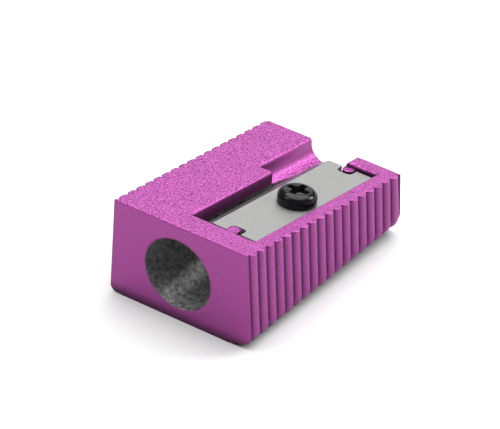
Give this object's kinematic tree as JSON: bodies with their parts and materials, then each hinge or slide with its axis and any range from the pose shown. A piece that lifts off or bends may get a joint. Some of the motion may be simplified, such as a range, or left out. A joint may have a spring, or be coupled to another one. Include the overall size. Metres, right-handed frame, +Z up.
{
  "type": "pencil sharpener",
  "caption": "Wedge-shaped single-hole pencil sharpener: ribbed cast metal block with a bevelled steel blade held by one cross-recess screw.",
  "frame": {"origin": "centre of the underside's box, on the surface the sharpener stands on", "axes": "+Z up, length along +Y with the pencil mouth in the -Y face, width along X"},
  "size_m": [0.0169, 0.025, 0.0108],
  "materials": {
    "body_paint": "metallic magenta lacquer over a cast block",
    "blade_steel": "light satin ground steel",
    "screw_black": "glossy black oxide screw",
    "bare_casting": "unpainted dark rough casting inside the cone"
  },
  "bodies": {
    "block": {"sharpener_body": "body_paint"},
    "blade": {"cutting_blade": "blade_steel"},
    "screw": {"blade_screw": "screw_black"}
  },
  "joints": [
    {"name": "blade_lift", "type": "slide", "parent": "block", "child": "blade", "axis": [0, 0.1541, 0.988], "range_m": [0, 0.0036]},
    {"name": "screw_turn", "type": "hinge", "parent": "blade", "child": "screw", "pos_m": [0.0039, 0.00076, 0.00817], "axis": [0, 0.1541, 0.988], "range_deg": [0, 2881]}
  ],
  "couplings": [
    {"joint": "screw_turn", "follows": "blade_lift", "rad_per_m": 13963}
  ]
}
